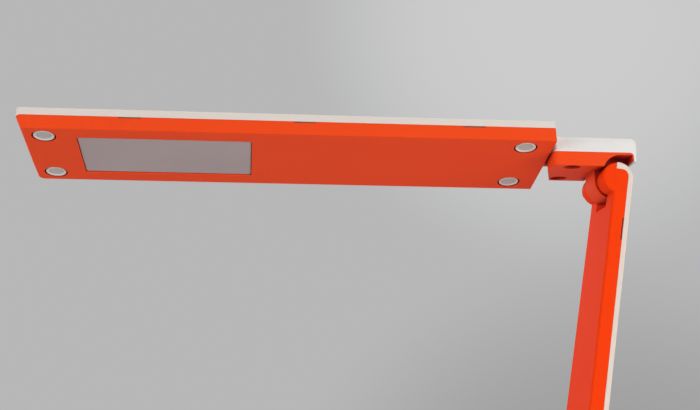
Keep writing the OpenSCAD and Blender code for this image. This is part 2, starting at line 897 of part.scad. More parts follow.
module neck_hollow() {
    half = neck_w / 2 - neck_wall;
    difference() {
        intersection() {
            slab(neck_wall - neck_drop, neck_top - neck_wall)
                translate([0, -half]) square([neck_inside, 2 * half]);
            neck_front(neck_wall);
        }
        at_neck_screws() bar_z(neck_boss_r, -neck_drop, neck_top);
        slab(-neck_drop, neck_top)
            square([2 * (head_gap + spindle_seat), spindle_block_w], center = true);
    }
}

// Hollows over the arm's knuckles beside the tongue, each a round seat, a wider arch and an open end
module neck_arches() {
    at_upper_pivot() mirrored_y() {
        bar_y(knuckle_r + knuckle_gap, neck_tongue_w / 2, neck_w);
        translate([arch_run, 0, arch_rise]) bar_y(arch_r, neck_tongue_w / 2, neck_w);
        block([arch_run, neck_tongue_w / 2, -knuckle_r],
            [arch_end - pivot_run, neck_w, arch_rise + arch_r]);
    }
}

module neck_lower_shell() {
    color("orangered") in_neck() difference() {
        union() {
            intersection() {
                neck_form();
                neck_core();
            }
            at_upper_pivot() bar_y(tongue_r, -neck_tongue_w / 2, neck_tongue_w / 2);
            at_upper_pivot() block([-tongue_r, -neck_tongue_w / 2, 0],
                [tongue_r / 2, neck_tongue_w / 2, pivot_fall - neck_drop + neck_wall]);
        }
        neck_hollow();
        neck_arches();
        at_upper_pivot() bar_y(pin_r + turn_gap, -neck_w, neck_w);
        bar_x(spindle_r + seat_gap, 0, head_gap + spindle_seat + over);
        at_neck_screws() bar_z(neck_well_d / 2, -neck_drop - over, neck_well_top);
        at_neck_screws() bar_z(screw_hole_r, -neck_drop, neck_seam + over);
    }
}

module neck_upper_shell() {
    color("gainsboro") in_neck() difference() {
        neck_form();
        neck_core();
        neck_hollow();
        neck_arches();
        block([neck_end - neck_band - over, -neck_w, -neck_drop - over],
            [neck_end + over, neck_w, lip_rise - neck_drop]);
        bar_x(spindle_r + seat_gap, 0, head_gap + spindle_seat + over);
        at_neck_screws() bar_z(screw_r + seat_gap, neck_seam - over, neck_seam + 2 * screw_bite);
    }
}

module neck_screws() {
    color("dimgray") in_neck() at_neck_screws() translate([0, 0, neck_well_top])
        screw(neck_seam + 2 * screw_bite - tip_room - neck_well_top);
}

module swivel_spindle() {
    tail = head_gap + spindle_seat + slide_gap;
    color("silver") in_neck() difference() {
        union() {
            bar_x(spindle_r, -spindle_in_head, tail + collar_t + spindle_nose);
            bar_x(collar_r, tail, tail + collar_t);
        }
        bar_x(spindle_bore_d / 2, -spindle_in_head - over, tail + collar_t + spindle_nose + over);
    }
}

// Spring washer between the head and the neck
module swivel_washer() {
    color("silver") in_neck() difference() {
        bar_x(hub_r, slide_gap, head_gap - slide_gap);
        bar_x(spindle_r + turn_gap, 0, head_gap);
    }
}

module spindle_clip() {
    start = -swivel_block_len - slide_gap - clip_t;
    color("silver") in_neck() difference() {
        bar_x(clip_r, start, start + clip_t);
        bar_x(spindle_r + seat_gap, start - over, start + clip_t + over);
    }
}

// Head
module head_plan(inset) {
    reach = head_len + head_corner_r;
    intersection() {
        translate([reach / 2 - head_len, 0]) soft_rect(
            [reach - 2 * inset, head_w - 2 * inset], max(head_corner_r - inset, head_corner_r / 4));
        translate([-head_len, -head_w / 2]) square([head_len - inset, head_w]);
    }
}

// Everything inside the tray's sloping lit end
module head_front(inset) {
    low = -head_len + head_slope + inset;
    high = -head_len + inset;
    slope = head_slope / tray_h;
    across_y() polygon([[low + slope * over, head_low - over], [far, head_low - over],
        [far, tray_top + over], [high - slope * over, tray_top + over]]);
}

module window_plan(grow) {
    translate([window_mid, 0]) soft_rect([window_len + 2 * grow, window_w + 2 * grow], window_corner_r);
}

module at_caps() {
    mirrored_y() translate([-head_len + cap_outer_inset, head_w / 2 - cap_side_inset, 0]) children();
    mirrored_y() translate([-cap_inner_inset, head_w / 2 - cap_side_inset, 0]) children();
}

module at_light_screws() {
    translate([window_mid, 0, 0]) mirrored_x() mirrored_y()
        translate([light_screw_x, light_screw_y, 0]) children();
}

// Pry notches along the near seam, at shares of the head's length
module head_notches() {
    notch_share = [0.206, 0.527, 0.844];
    for (share = notch_share)
        translate([-head_len * (1 - share), -head_w / 2, tray_top]) block(
            [-notch_len / 2, -over, -notch_h], [notch_len / 2, notch_depth, over]);
}

module head_tray() {
    color("orangered") in_head() difference() {
        union() {
            difference() {
                intersection() {
                    slab(head_low, tray_top) head_plan(0);
                    head_front(0);
                }
                intersection() {
                    slab(floor_top, tray_top + over) head_plan(head_wall);
                    head_front(head_wall);
                }
            }
            intersection() {
                union() {
                    at_caps() bar_z(cap_hole_r + boss_wall, head_low, tray_top);
                    at_light_screws() bar_z(small_boss_r, head_low, light_board_top);
                    block([-swivel_block_len, -swivel_block_w / 2, head_low],
                        [0, swivel_block_w / 2, tray_top]);
                }
                slab(head_low, tray_top) head_plan(0);
                head_front(0);
            }
        }
        slab(head_low - over, floor_top + over) window_plan(0);
        at_caps() bar_z(cap_hole_r, head_low - over, well_top);
        at_caps() bar_z(screw_hole_r, head_low, tray_top + over);
        at_light_screws() bar_z(small_screw_r + seat_gap, floor_top, light_board_top + over);
        bar_x(spindle_r + turn_gap, -swivel_block_len - over, over);
        bar_x(clip_r + drop_gap, -spindle_in_head - drop_gap, -swivel_block_len);
        head_notches();
    }
}

module head_cover() {
    color("gainsboro") in_head() difference() {
        intersection() {
            slab(tray_top, head_top) head_plan(0);
            across_x() translate([0, head_top - far / 2]) soft_rect([head_w, far], head_round);
            across_y() translate([-head_len / 2, head_top - far / 2])
                soft_rect([head_len, far], head_round);
        }
        difference() {
            slab(tray_top - over, cover_under) head_plan(head_wall);
            at_caps() bar_z(boss_r, tray_top - over, cover_under);
        }
        at_caps() bar_z(screw_r + seat_gap, tray_top - over, tray_top + screw_bite + tip_room);
    }
}

module head_screws() {
    color("silver") in_head() at_caps() translate([0, 0, well_top]) screw(tray_top + screw_bite - well_top);
}

// Round caps with a dished face, each pressed in by its wider upper half
module screw_caps() {
    color("lightgray") in_head() at_caps() rotate_extrude() polygon([
        [0, cap_low + cap_dish], [cap_r * cap_dish_share, cap_low + cap_dish],
        [cap_r * cap_rim_share, cap_low], [cap_r, cap_low], [cap_r, cap_step],
        [cap_hole_r - seat_gap, cap_step], [cap_hole_r - seat_gap, cap_high], [0, cap_high]]);
}

module diffuser() {
    color("lavender") in_head() {
        slab(head_low + window_recess, floor_top + rim_t / 2) window_plan(-drop_gap);
        slab(floor_top, rim_top) window_plan(rim_w);
    }
}

module reflector() {
    color("white") in_head() difference() {
        slab(rim_top, reflector_top) window_plan(rim_w);
        slab(rim_top - over, reflector_top + over) window_plan(rim_w - reflector_wall);
    }
}

module light_board() {
    color("darkgreen") in_head() slab(reflector_top, light_board_top) window_plan(rim_w);
}

module light_chips() {
    step_x = window_len / chip_columns;
    step_y = window_w / chip_rows;
    color("khaki") in_head() translate([window_mid, 0, reflector_top - chip_h])
        for (i = [0:chip_columns - 1], j = [0:chip_rows - 1])
            translate([(i - (chip_columns - 1) / 2) * step_x, (j - (chip_rows - 1) / 2) * step_y])
                slab(0, chip_h) square(chip_side, center = true);
}

module heat_spreader() {
    color("lightsteelblue") in_head() difference() {
        translate([window_mid, 0, 0]) slab(light_board_top, spreader_top)
            soft_rect([spreader_len, light_w], window_corner_r);
        at_light_screws() bar_z(small_screw_r + tip_room, light_board_top - over, spreader_top + over);
    }
}

module spreader_screws() {
    color("silver") in_head() at_light_screws() translate([0, 0, spreader_top]) mirror([0, 0, 1])
        small_screw(spreader_top - floor_top - tip_room);
}

// Flat lead from the hollow spindle along the tray to the light board
module head_ribbon() {
    low = floor_top + lead_t / 2;
    start = -spindle_in_head - spindle_nose;
    end = window_mid + light_len / 2 + drop_gap;
    high = reflector_top + lead_t / 2;
    color("dimgray") in_head() strip([[end, high], [end + lead_t, high], [end + lead_rise, low],
        [start - lead_rise, low], [start, 0]], lead_w, lead_t);
}

base_pad();
base_tray();
base_cover();
base_screws();
hinge_block();
block_screws();
ballast_plate();
ballast_screws();
control_board();
board_parts();
board_screws();
tact_switch();
supply_socket();
indicator_lens();
power_button();
switch_plunger();
lower_hinge_pin();
lower_friction_washers();
arm_inner_shell();
arm_outer_shell();
arm_screws();
arm_ribbon();
upper_hinge_pin();
upper_friction_washers();
neck_lower_shell();
neck_upper_shell();
neck_screws();
swivel_spindle();
swivel_washer();
spindle_clip();
head_tray();
head_cover();
head_screws();
screw_caps();
diffuser();
reflector();
light_board();
light_chips();
heat_spreader();
spreader_screws();
head_ribbon();
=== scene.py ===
import bpy
import json
import math
from mathutils import Matrix, Vector


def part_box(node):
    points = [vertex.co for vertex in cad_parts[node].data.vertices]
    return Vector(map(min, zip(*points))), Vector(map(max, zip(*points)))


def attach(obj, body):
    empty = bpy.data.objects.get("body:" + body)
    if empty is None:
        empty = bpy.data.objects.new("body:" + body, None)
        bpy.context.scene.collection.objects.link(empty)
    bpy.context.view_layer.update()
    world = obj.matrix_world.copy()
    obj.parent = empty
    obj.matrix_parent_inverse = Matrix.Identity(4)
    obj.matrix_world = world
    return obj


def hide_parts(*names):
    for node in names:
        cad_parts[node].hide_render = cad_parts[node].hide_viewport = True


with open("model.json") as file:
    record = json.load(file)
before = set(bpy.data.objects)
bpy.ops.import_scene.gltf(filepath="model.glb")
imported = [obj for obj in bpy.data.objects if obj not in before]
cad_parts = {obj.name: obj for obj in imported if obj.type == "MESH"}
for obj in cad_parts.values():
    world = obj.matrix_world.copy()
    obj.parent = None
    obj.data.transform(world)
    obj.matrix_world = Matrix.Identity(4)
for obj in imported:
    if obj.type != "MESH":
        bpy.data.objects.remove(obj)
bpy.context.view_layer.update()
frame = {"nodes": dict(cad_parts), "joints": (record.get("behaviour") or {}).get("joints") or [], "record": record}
print("frame loaded:", len(frame["nodes"]), "nodes")

mm = 0.001  # one millimetre in metres
nodes = frame["nodes"]
bodies = frame["record"]["behaviour"]["bodies"]
bodyOf = {node: body for body, members in bodies.items() for node in members}
slotOf = {part["node"]: part["material_slot"] for part in frame["record"]["subparts"]}
joints = {joint["name"]: Vector(joint.get("pos_m", (0, 0, 0))) for joint in frame["joints"]}


# Camera, placed from the point where the head meets the neck
cameraView = {
    "fromSwivel": (-137.5, -530.1, -126.2),  # mm
    "lookUp": 10.89,  # degrees above level
    "turnRight": 4.87,
    "roll": 0.23,
    "lens": 59.6,
    "nearest": 10,  # mm
}


def makeCamera(view):
    data = bpy.data.cameras.new("camera")
    data.lens = view["lens"]
    data.clip_start = view["nearest"] * mm
    camera = bpy.data.objects.new("camera", data)
    bpy.context.scene.collection.objects.link(camera)
    turn = Matrix.Rotation(math.radians(-view["turnRight"]), 4, "Z")
    lift = Matrix.Rotation(math.radians(90 + view["lookUp"]), 4, "X")
    roll = Matrix.Rotation(math.radians(view["roll"]), 4, "Z")
    place = joints["head_swivel"] + Vector(view["fromSwivel"]) * mm
    camera.matrix_world = Matrix.Translation(place) @ turn @ lift @ roll
    bpy.context.scene.camera = camera


makeCamera(cameraView)
print("camera placed")


# One node of a material: values go on its sockets, or are links from other nodes' sockets
def addNode(tree, kind, values=None, **settings):
    node = tree.nodes.new(kind)
    for name, value in settings.items():
        setattr(node, name, value)
    for socket, value in (values or {}).items():
        if isinstance(value, bpy.types.NodeSocket):
            tree.links.new(value, node.inputs[socket])
        else:
            node.inputs[socket].default_value = value
    return node


def colour(hexCode):  # sRGB hex to linear
    parts = [int(hexCode[i:i + 2], 16) / 255 for i in (1, 3, 5)]
    return tuple(c / 12.92 if c <= 0.04045 else ((c + 0.055) / 1.055) ** 2.4 for c in parts) + (1,)


def newMaterial(name):
    material = bpy.data.materials.new(name)
    material.use_nodes = True
    material.node_tree.nodes.clear()
    return material, material.node_tree


def closeMaterial(tree, shader):
    addNode(tree, "ShaderNodeOutputMaterial", {"Surface": shader.outputs[0]})


# Injection-moulded ABS from a finely spark-eroded tool: even colour, nearly matt,
# with the slow waves of a thin cooled wall and a very fine grain.
# In gaps and hollows, where ambient occlusion finds little open sky, the colour is mixed towards a deeper hollow
# colour: painted shade
coloured = {
    "base": "#F04603", "deep": "#EA4102", "hollow": "#920500",
    "gloss": 0.61, "glossSpread": 0.04, "ior": 1.32,
    "tintSize": 45, "waveSize": 18, "waveDepth": 0.05, "grainSize": 0.8, "grainDepth": 0.01,  # mm
}
# Painted light: the arm's orange is painted redder than the head's, for the brighter light that falls on the arm
armLitOrange = {**coloured, "base": "#F33D01", "deep": "#ED3901", "ior": 1.16}  # the arm's
pale = {
    **coloured, "base": "#DCD3CB", "deep": "#D7CDC5", "hollow": "#B9ABA2", "gloss": 0.5, "ior": 1.4,
}
# Painted light: the neck's white is painted brighter for the glare on it, and the arm's white warmer for the
# orange light bounced onto it
neckLitWhite = {**pale, "base": "#E1DEDB", "deep": "#DCD9D6"}  # the neck's
armBounceWhite = {**pale, "base": "#DFCFC2", "deep": "#DACABD"}  # the arm's
keyTop = {
    "base": "#D9D4CF", "deep": "#D3CDC8", "hollow": "#BDB6B0",
    "gloss": 0.3, "glossSpread": 0.04, "ior": 1.45,
    "tintSize": 12, "waveSize": 6, "waveDepth": 0.01, "grainSize": 0.5, "grainDepth": 0.006,  # mm
}
# Painted shade in hollows: how far ambient occlusion looks, and the open-sky shares at which the painted shade is
# full and where it is gone
hollowLook = {"reach": 7, "closed": 0.35, "open": 0.78}  # mm, and how much of the sky is left there


def mouldedAbs(name, values):
    material, tree = newMaterial(name)
    place = addNode(tree, "ShaderNodeTexCoord").outputs["Object"]
    flow = addNode(tree, "ShaderNodeTexNoise", {
        "Vector": place, "Scale": 1 / (values["tintSize"] * mm), "Detail": 3})
    tint = addNode(tree, "ShaderNodeMix", {
        "Factor": flow.outputs["Fac"], 6: colour(values["base"]), 7: colour(values["deep"])},
        data_type="RGBA")
    # Painted shade: the tint goes towards the hollow colour where little sky is open
    sky = addNode(tree, "ShaderNodeAmbientOcclusion", {
        "Distance": hollowLook["reach"] * mm}, samples=8)
    share = addNode(tree, "ShaderNodeMapRange", {
        "Value": sky.outputs["AO"], "From Min": hollowLook["closed"],
        "From Max": hollowLook["open"]}, interpolation_type="SMOOTHSTEP")
    tint = addNode(tree, "ShaderNodeMix", {
        "Factor": share.outputs[0], 6: colour(values["hollow"]), 7: tint.outputs[2]}, data_type="RGBA")
    grain = addNode(tree, "ShaderNodeTexNoise", {
        "Vector": place, "Scale": 1 / (values["grainSize"] * mm), "Detail": 2})
    gloss = addNode(tree, "ShaderNodeMapRange", {
        "Value": grain.outputs["Fac"], "To Min": values["gloss"] - values["glossSpread"],
        "To Max": values["gloss"] + values["glossSpread"]})
    wave = addNode(tree, "ShaderNodeTexNoise", {
        "Vector": place, "Scale": 1 / (values["waveSize"] * mm), "Detail": 0})
    wavy = addNode(tree, "ShaderNodeBump", {
        "Height": wave.outputs["Fac"], "Strength": 1, "Distance": values["waveDepth"] * mm})
    fine = addNode(tree, "ShaderNodeBump", {
        "Height": grain.outputs["Fac"], "Strength": 1, "Distance": values["grainDepth"] * mm,
        "Normal": wavy.outputs[0]})
    shader = addNode(tree, "ShaderNodeBsdfPrincipled", {
        "Base Color": tint.outputs[2], "Roughness": gloss.outputs[0], "IOR": values["ior"],
        "Normal": fine.outputs[0]})
    closeMaterial(tree, shader)
    return material


# Spark-eroded ABS of the screw caps: satin, with a fine even grit; the dish has a coarser grit and a greyer
# colour, which is painted shade
satinCap = {"base": "#D6D0CA", "deep": "#CDC7C1", "gloss": 0.48, "ior": 1.5,
            "gritSize": 0.35, "gritDepth": 0.02}  # mm
shadedDish = {"base": "#BDB8B6", "deep": "#B1ACAA", "gloss": 0.55, "ior": 1.5,
             "gritSize": 0.6, "gritDepth": 0.04}  # mm


def satinAbs(name, values):
    material, tree = newMaterial(name)
    place = addNode(tree, "ShaderNodeTexCoord").outputs["Object"]
    grit = addNode(tree, "ShaderNodeTexNoise", {
        "Vector": place, "Scale": 1 / (values["gritSize"] * mm), "Detail": 3, "Roughness": 0.6})
    tint = addNode(tree, "ShaderNodeMix", {
        "Factor": grit.outputs["Fac"], 6: colour(values["base"]), 7: colour(values["deep"])},
        data_type="RGBA")
    bump = addNode(tree, "ShaderNodeBump", {
        "Height": grit.outputs["Fac"], "Strength": 1, "Distance": values["gritDepth"] * mm})
    shader = addNode(tree, "ShaderNodeBsdfPrincipled", {
        "Base Color": tint.outputs[2], "Roughness": values["gloss"], "IOR": values["ior"],
        "Normal": bump.outputs[0]})
    closeMaterial(tree, shader)
    return material


# Opal acrylic, cast and etched on its outer face: light sinks in a little, the face is dull
opalWindow = {
    "base": "#AEA0A1", "deep": "#A59798", "gloss": 0.5, "ior": 1.49, "sinkShare": 0.3,
    "sinkDepth": 1.5, "cloudSize": 30, "etchSize": 0.4, "etchDepth": 0.015,  # mm
}


def etchedAcrylic(name, values):
    material, tree = newMaterial(name)
    place = addNode(tree, "ShaderNodeTexCoord").outputs["Object"]
    cloud = addNode(tree, "ShaderNodeTexNoise", {
        "Vector": place, "Scale": 1 / (values["cloudSize"] * mm), "Detail": 1})
    tint = addNode(tree, "ShaderNodeMix", {
        "Factor": cloud.outputs["Fac"], 6: colour(values["base"]), 7: colour(values["deep"])},
        data_type="RGBA")
    etch = addNode(tree, "ShaderNodeTexNoise", {
        "Vector": place, "Scale": 1 / (values["etchSize"] * mm), "Detail": 2})
    bump = addNode(tree, "ShaderNodeBump", {
        "Height": etch.outputs["Fac"], "Strength": 1, "Distance": values["etchDepth"] * mm})
    shader = addNode(tree, "ShaderNodeBsdfPrincipled", {
        "Base Color": tint.outputs[2], "Roughness": values["gloss"], "IOR": values["ior"],
        "Subsurface Weight": values["sinkShare"], "Subsurface Scale": values["sinkDepth"] * mm,
        "Normal": bump.outputs[0]})
    closeMaterial(tree, shader)
    return material


# Metals: zinc plate, oiled spring steel, mill-finished steel plate and rolled aluminium sheet.
# Each has soft patches in its polish and fine marks along the way it was drawn or rolled
zincPlate = {
    "base": "#B8B8BA", "deep": "#A4A4A8", "gloss": 0.34, "glossSpread": 0.08,
    "patch": 3, "mark": 0.25, "depth": 0.004, "stretch": (1, 1, 1),  # mm, mm, mm, shares
}
springSteel = {
    **zincPlate, "base": "#8F8F94", "deep": "#74747A", "gloss": 0.28,
    "patch": 2, "mark": 0.2, "depth": 0.003, "stretch": (1, 1, 0.3),
}
millSteel = {
    **zincPlate, "base": "#77797E", "deep": "#5C5E63", "gloss": 0.5,
    "patch": 14, "mark": 0.5, "depth": 0.01, "stretch": (0.06, 1, 1),
}
rolledAluminium = {
    **zincPlate, "base": "#C4C6CA", "deep": "#B2B4B9", "gloss": 0.38,
    "patch": 10, "mark": 0.3, "depth": 0.005, "stretch": (0.05, 1, 1),
}


def workedMetal(name, values):
    material, tree = newMaterial(name)
    place = addNode(tree, "ShaderNodeTexCoord").outputs["Object"]
    along = addNode(tree, "ShaderNodeMapping", {"Vector": place, "Scale": values["stretch"]})
    patch = addNode(tree, "ShaderNodeTexNoise", {
        "Vector": place, "Scale": 1 / (values["patch"] * mm), "Detail": 3})
    mark = addNode(tree, "ShaderNodeTexNoise", {
        "Vector": along.outputs[0], "Scale": 1 / (values["mark"] * mm), "Detail": 3})
    tint = addNode(tree, "ShaderNodeMix", {
        "Factor": patch.outputs["Fac"], 6: colour(values["base"]), 7: colour(values["deep"])},
        data_type="RGBA")
    gloss = addNode(tree, "ShaderNodeMapRange", {
        "Value": mark.outputs["Fac"], "To Min": values["gloss"] - values["glossSpread"],
        "To Max": values["gloss"] + values["glossSpread"]})
    bump = addNode(tree, "ShaderNodeBump", {
        "Height": mark.outputs["Fac"], "Strength": 1, "Distance": values["depth"] * mm})
    shader = addNode(tree, "ShaderNodeBsdfPrincipled", {
        "Base Color": tint.outputs[2], "Metallic": 1, "Roughness": gloss.outputs[0],
        "Normal": bump.outputs[0]})
    closeMaterial(tree, shader)
    return material


# Compression-moulded rubber of the pad: near black, dull, with a leathery grain against slipping
padRubber = {"base": "#232324", "deep": "#1A1A1B", "gloss": 0.78, "ior": 1.52,
             "grainSize": 0.9, "grainDepth": 0.08}  # mm
# Transfer-moulded epoxy of the small parts on the board: black, matt, slightly speckled
partEpoxy = {"base": "#1D1D20", "deep": "#141416", "gloss": 0.6, "ior": 1.52,
             "grainSize": 0.3, "grainDepth": 0.02}  # mm


def dullMoulding(name, values):
    material, tree = newMaterial(name)
    place = addNode(tree, "ShaderNodeTexCoord").outputs["Object"]
    grain = addNode(tree, "ShaderNodeTexVoronoi", {
        "Vector": place, "Scale": 1 / (values["grainSize"] * mm)}, feature="SMOOTH_F1")
    tint = addNode(tree, "ShaderNodeMix", {
        "Factor": grain.outputs["Distance"], 6: colour(values["base"]), 7: colour(values["deep"])},
        data_type="RGBA")
    bump = addNode(tree, "ShaderNodeBump", {
        "Height": grain.outputs["Distance"], "Strength": 1, "Distance": values["grainDepth"] * mm})
    shader = addNode(tree, "ShaderNodeBsdfPrincipled", {
        "Base Color": tint.outputs[2], "Roughness": values["gloss"], "IOR": values["ior"],
        "Normal": bump.outputs[0]})
    closeMaterial(tree, shader)
    return material


# Glass-epoxy board under green solder resist: glossy lacquer, tracks showing paler through it
boardResist = {
    "base": "#0E4523", "track": "#1D6B3A", "gloss": 0.28, "ior": 1.5,
    "trackPitch": 1.6, "weaveSize": 0.5, "weaveDepth": 0.01,  # mm
    "rowHeight": 0.25, "trackWidth": 0.03,  # of the pattern's own unit
}


def resistBoard(name, values):
    material, tree = newMaterial(name)
    place = addNode(tree, "ShaderNodeTexCoord").outputs["Object"]
    tracks = addNode(tree, "ShaderNodeTexBrick", {
        "Vector": place, "Scale": values["rowHeight"] / (values["trackPitch"] * mm),
        "Mortar Size": values["trackWidth"], "Mortar": colour(values["track"]),
        "Color1": colour(values["base"]), "Color2": colour(values["base"])})
    weave = addNode(tree, "ShaderNodeTexNoise", {
        "Vector": place, "Scale": 1 / (values["weaveSize"] * mm), "Detail": 1})
    bump = addNode(tree, "ShaderNodeBump", {
        "Height": weave.outputs["Fac"], "Strength": 1, "Distance": values["weaveDepth"] * mm})
    shader = addNode(tree, "ShaderNodeBsdfPrincipled", {
        "Base Color": tracks.outputs["Color"], "Roughness": values["gloss"], "IOR": values["ior"],
        "Normal": bump.outputs[0]})
    closeMaterial(tree, shader)
    return material


# Extruded PVC flat cable: soft grey, a round rib over each core
flatCable = {
    "base": "#6A6A6F", "grooveShade": "#4B4B50", "gloss": 0.5, "ior": 1.53,
    "corePitch": 1.27, "ribDepth": 0.2,  # mm
}


def ribbedPvc(name, values):
    material, tree = newMaterial(name)
    place = addNode(tree, "ShaderNodeTexCoord").outputs["Object"]
    # Bands across Y: the wave repeats every 2*pi/20 units at scale 1
    rib = addNode(tree, "ShaderNodeTexWave", {
        "Vector": place, "Scale": math.pi / (10 * values["corePitch"] * mm)}, bands_direction="Y")
    # Painted shade: the colour darkens in the grooves between the ribs
    tint = addNode(tree, "ShaderNodeMix", {
        "Factor": rib.outputs["Fac"], 6: colour(values["grooveShade"]), 7: colour(values["base"])},
        data_type="RGBA")
    bump = addNode(tree, "ShaderNodeBump", {
        "Height": rib.outputs["Fac"], "Strength": 1, "Distance": values["ribDepth"] * mm})
    shader = addNode(tree, "ShaderNodeBsdfPrincipled", {
        "Base Color": tint.outputs[2], "Roughness": values["gloss"], "IOR": values["ior"],
        "Normal": bump.outputs[0]})
    closeMaterial(tree, shader)
    return material


# Moulded white polyester round the light chips: bright, even, a faint matt bloom
brightPolyester = {
    "base": "#F0F0EE", "deep": "#E9E9E6", "gloss": 0.42, "ior": 1.45, "sinkShare": 0,
    "sinkDepth": 0.3, "bloomSize": 6, "bloomDepth": 0.01,  # mm
}
# Silicone with phosphor over the light chips: yellow, soft, light sinks in
chipSilicone = {
    **brightPolyester, "base": "#EDD35C", "deep": "#E2C246", "gloss": 0.35, "sinkShare": 0.4,
    "bloomSize": 0.8,  # mm
}


def softResin(name, values):
    material, tree = newMaterial(name)
    place = addNode(tree, "ShaderNodeTexCoord").outputs["Object"]
    bloom = addNode(tree, "ShaderNodeTexNoise", {
        "Vector": place, "Scale": 1 / (values["bloomSize"] * mm), "Detail": 2})
    tint = addNode(tree, "ShaderNodeMix", {
        "Factor": bloom.outputs["Fac"], 6: colour(values["base"]), 7: colour(values["deep"])},
        data_type="RGBA")
    bump = addNode(tree, "ShaderNodeBump", {
        "Height": bloom.outputs["Fac"], "Strength": 1, "Distance": values["bloomDepth"] * mm})
    shader = addNode(tree, "ShaderNodeBsdfPrincipled", {
        "Base Color": tint.outputs[2], "Roughness": values["gloss"], "IOR": values["ior"],
        "Subsurface Weight": values["sinkShare"], "Subsurface Scale": values["sinkDepth"] * mm,
        "Normal": bump.outputs[0]})
    closeMaterial(tree, shader)
    return material


# Moulded polycarbonate light guide: clear, with a faint green tint that varies along the flow
lightGuide = {
    "base": "#DDF2E4", "hazy": "#C9E8D4", "gloss": 0.12, "ior": 1.58, "clearShare": 0.85,
    "flowSize": 1.5,  # mm
}


def clearPolycarbonate(name, values):
    material, tree = newMaterial(name)
    place = addNode(tree, "ShaderNodeTexCoord").outputs["Object"]
    flow = addNode(tree, "ShaderNodeTexNoise", {
        "Vector": place, "Scale": 1 / (values["flowSize"] * mm), "Detail": 1})
    tint = addNode(tree, "ShaderNodeMix", {
        "Factor": flow.outputs["Fac"], 6: colour(values["base"]), 7: colour(values["hazy"])},
        data_type="RGBA")
    shader = addNode(tree, "ShaderNodeBsdfPrincipled", {
        "Base Color": tint.outputs[2], "Roughness": values["gloss"], "IOR": values["ior"],
        "Transmission Weight": values["clearShare"]})
    closeMaterial(tree, shader)
    return material


def makeMaterials():
    return {
        "orange": mouldedAbs("orangeMouldedAbs", coloured),
        "armOrange": mouldedAbs("armLitOrangeAbs", armLitOrange),
        "white": mouldedAbs("whiteMouldedAbs", pale),
        "neckWhite": mouldedAbs("neckLitWhiteAbs", neckLitWhite),
        "armWhite": mouldedAbs("armBounceWhiteAbs", armBounceWhite),
        "button": mouldedAbs("buttonMouldedAbs", keyTop),
        "cap": satinAbs("satinCapAbs", satinCap),
        "capDishShade": satinAbs("satinDishAbs", shadedDish),
        "frosted": etchedAcrylic("etchedOpalAcrylic", opalWindow),
        "steel": workedMetal("zincPlatedSteel", zincPlate),
        "spring_steel": workedMetal("oiledSpringSteel", springSteel),
        "ballast": workedMetal("millFinishedSteel", millSteel),
        "spreader": workedMetal("rolledAluminium", rolledAluminium),
        "pad": dullMoulding("mouldedRubber", padRubber),
        "black": dullMoulding("blackEpoxy", partEpoxy),
        "board": resistBoard("greenResistBoard", boardResist),
        "ribbon": ribbedPvc("flatCablePvc", flatCable),
        "reflector": softResin("whiteMouldedPolyester", brightPolyester),
        "phosphor": softResin("phosphorSilicone", chipSilicone),
        "lens": clearPolycarbonate("clearPolycarbonate", lightGuide),
    }


materials = makeMaterials()
# These have copies of their material painted for the light that falls on them; the rest have the material of their
# slot
ownMaterial = {
    "arm_inner_shell": "armOrange",
    "arm_outer_shell": "armWhite",
    "neck_upper_shell": "neckWhite",
}
for name, node in nodes.items():
    node.data.materials.clear()
    node.data.materials.append(materials[ownMaterial.get(name, slotOf[name])])
print("materials made:", len(materials))


# Where the head's underside looks
def undersideNormal():
    faces = nodes["diffuser"].data.polygons
    return max((face for face in faces if face.normal.z < 0), key=lambda face: face.area).normal.copy()


headDown = undersideNormal()

# How close points, faces and heights count as one
sameWithin = {"points": 0.002, "planes": 0.3, "levels": 0.05, "floor": 0.01}  # mm, degrees, mm, mm

# Cosines that tell which way a face looks
faceOn = 0.99  # above it, a face looks straight that way
nearlyFaceOn = 0.95
sideOn = 0.3  # below it, a face stands beside that way
realEdge = 0.5  # below it, two faces meet at an edge that shows


# A node's own shape as a new piece, joined and with whole flat faces, ready to be worked on
def copyNode(node, name):
    piece = bpy.data.objects.new(name, nodes[node].data.copy())
    bpy.context.scene.collection.objects.link(piece)
    openEdges(piece)
    bpy.ops.mesh.select_all(action="SELECT")
    bpy.ops.mesh.remove_doubles(threshold=sameWithin["points"] * mm)
    bpy.ops.mesh.dissolve_limited(angle_limit=math.radians(sameWithin["planes"]))
    bpy.ops.object.mode_set(mode="OBJECT")
    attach(piece, bodyOf[node])
    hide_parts(node)
    return piece


def openEdges(piece, kind="EDGE"):
    bpy.ops.object.select_all(action="DESELECT")
    piece.select_set(True)
    bpy.context.view_layer.objects.active = piece
    bpy.ops.object.mode_set(mode="EDIT")
    bpy.ops.mesh.select_mode(type=kind)
    bpy.ops.mesh.select_all(action="DESELECT")


# Rounds the edges between faces of one kind and faces of another, where they lie in a wanted place
def roundBetween(piece, isFirst, isSecond, width, steps, isWanted=lambda middle: True):
    openEdges(piece)
    bpy.ops.object.mode_set(mode="OBJECT")
    mesh = piece.data
    sides = {}
    for face in mesh.polygons:
        for key in face.edge_keys:
            sides.setdefault(key, []).append(face)
    for edge in mesh.edges:
        if len(sides.get(edge.key, [])) != 2:
            continue
        one, other = sides[edge.key]
        isBetween = isFirst(one) and isSecond(other) or isFirst(other) and isSecond(one)
        start, end = (mesh.vertices[i].co for i in edge.vertices)
        edge.select = (isBetween and abs(one.normal.dot(other.normal)) < realEdge
                       and isWanted((start + end) / 2))
    bpy.ops.object.mode_set(mode="EDIT")
    bpy.ops.mesh.bevel(
        offset=width * mm, segments=steps, profile=0.5, affect="EDGES", clamp_overlap=False)
    bpy.ops.object.mode_set(mode="OBJECT")


# Arm: its long edges and the rims of its round knuckles are softer than the rest
armShape = {
    "rounding": 1.1, "steps": 4,  # mm, steps
    "wideFace": 60,  # mm2, what the broad side faces exceed
    "pinHole": 6, "sharpEar": 14,  # mm from a pin's axis: its hole's wall, and the far lower ear
    "backwards": 0.1,  # cosine, above which a face looks back
}


